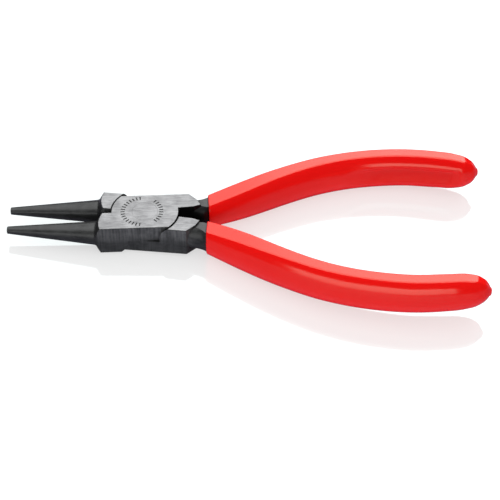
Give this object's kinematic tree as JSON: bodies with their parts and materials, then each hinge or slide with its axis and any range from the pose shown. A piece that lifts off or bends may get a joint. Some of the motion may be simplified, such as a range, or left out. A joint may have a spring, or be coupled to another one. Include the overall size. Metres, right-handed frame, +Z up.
{
  "type": "round nose pliers",
  "caption": "Small lap-joint pliers with two round tapering jaws, a flush rivet pivot and long bowed handles in a dipped soft coat, lying slightly open.",
  "frame": {"origin": "where the pivot axis meets the head's flat underside", "axes": "+X along the tool towards the handles, +Y to the left side seen from above with the handles away, +Z up along the pivot axis"},
  "size_m": [0.1232, 0.055, 0.0109],
  "materials": {
    "forged_steel": "black oxide on the jaws and sides, ground bright on the head's flat faces",
    "rivet_steel": "ground flush with the head, satin",
    "grip_coat": "smooth glossy red dipped plastic"
  },
  "bodies": {
    "lower_arm": {"lower_half": "forged_steel", "rivet": "rivet_steel", "lower_grip": "grip_coat"},
    "upper_arm": {"upper_half": "forged_steel", "upper_grip": "grip_coat"}
  },
  "joints": [
    {"name": "pivot", "type": "hinge", "parent": "lower_arm", "child": "upper_arm", "pos_m": [0, 0, 0.00415], "axis": [0, 0, 1], "range_deg": [-8.55, 51]}
  ]
}
